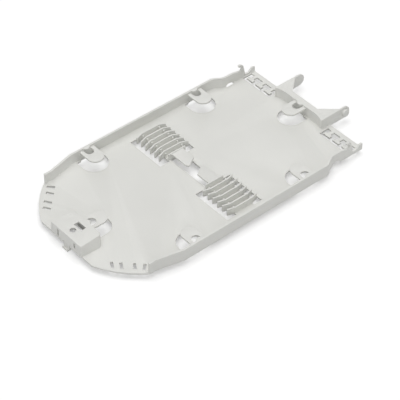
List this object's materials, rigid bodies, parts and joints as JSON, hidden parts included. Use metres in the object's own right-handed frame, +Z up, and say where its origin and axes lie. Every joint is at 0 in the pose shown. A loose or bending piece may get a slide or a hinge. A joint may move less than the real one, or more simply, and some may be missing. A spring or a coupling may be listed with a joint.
{
  "type": "fibre splice tray",
  "caption": "Hinged plastic tray for optical fibre splices: low side walls, round front, splice combs with flared fins, retaining tabs over windows, front latch box and hinge arms.",
  "frame": {"origin": "centre of the tray's bounding box, at the height of the latch's foot, which is the surface that the tray lies on", "axes": "+X from the front latch towards the hinge, along the tray's length; +Y across the tray; +Z up, out of the open side; symmetric about Y = 0 but for the two centre tabs and the front box's small slots"},
  "size_m": [0.2143, 0.1128, 0.0157],
  "materials": {
    "tray_plastic": "matte moulded off-white plastic"
  },
  "bodies": {
    "root": {"splice_tray": "tray_plastic"}
  },
  "joints": []
}
